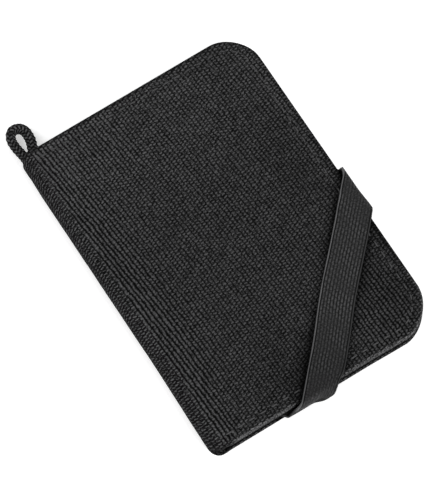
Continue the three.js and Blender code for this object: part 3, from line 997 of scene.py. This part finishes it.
def cord_loop(material):
    """A round braid, whose strands cross over and under each other."""
    z = sum(span("cord_loop", Z)) / 2
    line, length = spline([(x * MM, y * MM, z) for x, y in LOOP_PATH], 420)
    # Outside the wallet the loop leans a little towards the spine and stands a little longer.
    free = smoothstep(line[:, 1], 70 * MM, 77 * MM)
    second = smoothstep(np.arange(len(line)), 0.5 * len(line), 0.7 * len(line))
    free = np.maximum(free, 1.5 * second * smoothstep(line[:, 1], 66.8 * MM, 70.5 * MM))
    line[:, 0] -= 0.30 * MM * free
    line[:, 1] += 0.45 * MM * smoothstep(line[:, 1], 70 * MM, 79 * MM)
    tangent = np.gradient(line, axis=0)
    tangent = tangent / np.linalg.norm(tangent, axis=1)[:, None]
    up = np.array([0.0, 0, 1])
    side = np.cross(tangent, up)[:, None, :]
    sides = 64
    t = np.arange(sides) * 2 * math.pi / sides
    s, t = np.meshgrid(np.linspace(0, length, len(line)), t, indexing="ij")
    right = CORD_STRANDS * (t / (2 * math.pi) + s / CORD_LAY)
    left = CORD_STRANDS * (t / (2 * math.pi) - s / CORD_LAY)
    over = np.cos(2 * math.pi * right) * np.cos(2 * math.pi * left)
    right_back = np.abs(np.cos(math.pi * right)) ** 0.9
    left_back = np.abs(np.cos(math.pi * left)) ** 0.9
    weight = smoothstep(np.cos(math.pi * (right + left)) * 0.5 + 0.5, 0.25, 0.75)
    height = right_back * weight + left_back * (1 - weight)
    radius = CORD / 2 + 0.13 * MM - 0.42 * MM * (1 - height) + 0.03 * MM * over
    radius = radius * (1 + 0.09 * smoothstep(s / length, 0.3, 0.6))  # looser on the far side
    points = line[:, None, :] + (np.cos(t) * radius)[..., None] * side
    points = points + (np.sin(t) * radius)[..., None] * up
    # The strands' height goes in as the tone, from which the braid paints shade between the strands.
    cloth = np.stack([s, t * CORD / 2, height], -1)
    obj = make_mesh("braided_cord_loop", points, tube_faces(len(line), sides), cloth)
    wear(obj, material)
    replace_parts(obj, "cord_loop")
    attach(obj, BACK)


def foam_pad(material):
    """The foam in the front cover: the CAD slab with its edges rounded over."""
    obj = put("front_foam", frame["nodes"]["front_foam_padding"].data.copy())
    edge = obj.modifiers.new("edge", "BEVEL")
    edge.width = 0.3 * MM
    edge.segments = 2
    edge.limit_method = "ANGLE"
    wear(obj, material)
    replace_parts(obj, "front_foam_padding")
    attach(obj, FRONT)


# ---------------------------------------------------------------- stage
FLOOR_DROP = 0.05 * MM
FLOOR_GLOW = 0.35
WORLD_STRENGTH = 0.75
LIGHTS = [
    # name, place, size in metres, power in watts
    ("key", (0.35, -1.25, 0.42), 0.5, 20),
    ("fill", (-0.8, 0.6, 1.2), 0.8, 7),
]


def add_stage():
    """A white floor with a faint glow, a white surrounding and two soft lights aimed at the wallet."""
    half = 3.0
    corners = [(-half, -half, 0), (half, -half, 0), (half, half, 0), (-half, half, 0)]
    floor = make_mesh("floor", corners, [(0, 1, 2, 3)])
    floor.location.z = -FLOOR_DROP
    white = Nodes("floor")
    white.shader.inputs["Emission Color"].default_value = (1, 1, 1, 1)
    white.shader.inputs["Emission Strength"].default_value = FLOOR_GLOW
    floor.data.materials.append(white.finish((0.93, 0.93, 0.93, 1), roughness=0.9, specular=0.1))
    world = bpy.data.worlds.new("studio")
    bpy.context.scene.world = world
    world.use_nodes = True
    background = world.node_tree.nodes["Background"]
    background.inputs[0].default_value = (1, 1, 1, 1)
    background.inputs[1].default_value = WORLD_STRENGTH
    for name, place, size, power in LIGHTS:
        data = bpy.data.lights.new(name, "AREA")
        data.size = size
        data.energy = power
        light = put(name, data)
        light.location = place
        light.rotation_euler = (-Vector(place)).to_track_quat("-Z", "Y").to_euler()
    bpy.context.scene.view_settings.view_transform = "Standard"


# ---------------------------------------------------------------- build
def hinge_cloth(back, front):
    """Bakes into their meshes the transforms of two sheets that go round the spine and meet in its middle.
    """
    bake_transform(back)
    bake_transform(front)


def add_pockets(inner):
    """Three card slots in the back cover and the passport sleeve in the front one."""
    top, bottom = TOP_CORNER - POCKET_INSET, BOTTOM_CORNER - POCKET_INSET
    for seed, node in enumerate(("card_slot_rear", "card_slot_middle", "card_slot_front"), 20):
        low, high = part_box(node)
        hem = ((low[X], high[Y], high[Z]), (high[X], high[Y], high[Z]), 2.4 * MM, 0.18 * MM)
        pocket(node, hem, [bottom], BACK, inner, seed)
    low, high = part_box("passport_sleeve")
    hem = ((low[X], low[Y], low[Z]), (low[X], high[Y], low[Z]), 3.0 * MM, -0.2 * MM)
    pocket("passport_sleeve", hem, [top, bottom], FRONT, inner, 31)


def add_strap(elastic):
    """The strap's two halves, each from its sewn end, which stays, to the middle, which pulls off."""
    for name, upper in (("elastic_strap_upper", True), ("elastic_strap_lower", False)):
        obj, line = strap_half(name, upper)
        wear(obj, elastic)
        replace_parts(obj, "elastic_strap")
        start, end = line[-1].copy(), line[0].copy()
        start[Z] = end[Z] = 0
        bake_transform(obj)


def add_threads(thread):
    """The topstitching, the card slots' side seam and the bar tacks."""
    low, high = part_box("card_slot_side_seam")
    seam = np.array([((low[X] + high[X]) / 2, y, low[Z]) for y in (low[Y], high[Y])])
    over, under = stitch_path(TOP_Z - 0.18 * MM), stitch_path(0.22 * MM)
    rows = (
        # piece, CAD node, path, pitch, stitch, thread, outward, body
        ("front_topstitching", "front_edge_stitching", over, 5.0 * MM, 3.2 * MM, 0.6 * MM, 1, FRONT),
        ("back_topstitching", "back_edge_stitching", under, 4.6 * MM, 3.0 * MM, 0.4 * MM, -1, BACK),
        ("card_slot_side_stitching", "card_slot_side_seam", seam, 3.2 * MM, 2.2 * MM, 0.4 * MM, 1, BACK),
    )
    for row in rows:
        stitches(*row, thread)
    bar_tack("strap_fore_tack", "strap_fore_bar_tack", Y, thread, tail_shift(Y))
    bar_tack("strap_bottom_tack", "strap_bottom_bar_tack", X, thread, tail_shift(X) + 0.9 * MM)
    bar_tack("loop_tack", "loop_bar_tack", X, thread)


def build():
    add_camera()
    add_stage()
    shell = woven(
        "shell_weave", YARN_ACROSS, YARN_ALONG, 0.001, 0.0222, 0.066, bump=0.3 * MM, fine=0.9 * MM
    )
    inner = woven("lining_weave", 0.55 * MM, 0.5 * MM, 0.003, 0.012, 0.03, bump=0.05 * MM)
    elastic = ribbed("elastic_ribs", 0.0015, 0.018, 0.055)
    thread = twisted("thread", 0.014, 0.066)
    braided = braid("cord_braid", 0.0005, 0.075)
    board = plain("board", (0.035, 0.033, 0.03), 0.85, 900, 0.03 * MM)
    foam = plain("foam", (0.03, 0.03, 0.03), 0.95, 1600, 0.1 * MM)
    cord_loop(braided)
    front, back = shell_front(shell), shell_back(shell)
    hinge_cloth(back, front)
    back, front = lining(False, inner), lining(True, inner)
    hinge_cloth(back, front)
    add_pockets(inner)
    add_strap(elastic)
    add_threads(thread)
    foam_pad(foam)
    for node in ("front_stiffener_board", "back_stiffener_board"):
        wear(frame["nodes"][node], board)


build()
